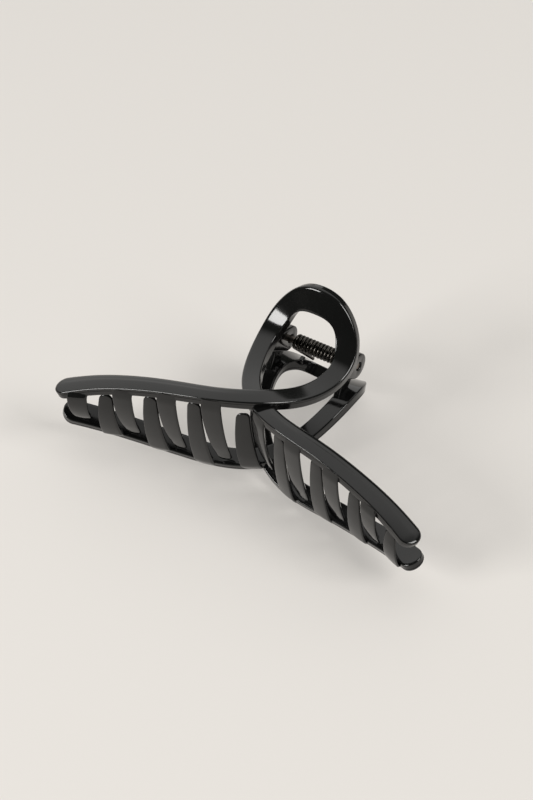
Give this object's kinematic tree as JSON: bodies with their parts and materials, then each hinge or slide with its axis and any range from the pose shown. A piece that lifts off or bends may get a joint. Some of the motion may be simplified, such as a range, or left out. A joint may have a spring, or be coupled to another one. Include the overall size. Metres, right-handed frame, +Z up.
{
  "type": "claw hair clip",
  "caption": "Looped claw hair clip: two sprung jaws of crossed bands with open loop handles and rows of interlocking curved teeth.",
  "frame": {"origin": "middle of the bounding box's underside, where the closed clip lies on the back of its rear jaw", "axes": "+X along the hinge pin, the clip's length; +Y from the teeth towards the handles; +Z up through the front jaw"},
  "size_m": [0.1074, 0.0544, 0.0408],
  "materials": {
    "plastic": "glossy moulded black",
    "pin_steel": "drawn, dull",
    "spring_steel": "dark oiled wire"
  },
  "bodies": {
    "rear": {"rear_jaw": "plastic", "hinge_pin": "pin_steel", "torsion_spring": "spring_steel"},
    "front": {"front_jaw": "plastic"}
  },
  "joints": [
    {"name": "jaw_hinge", "type": "hinge", "parent": "rear", "child": "front", "pos_m": [0, 0.01868, 0.01988], "axis": [-1, 0, 0], "range_deg": [0, 80], "stiffness_Nm_per_rad": 0.06, "springref_deg": -40.11, "deforming": ["torsion_spring"]}
  ]
}
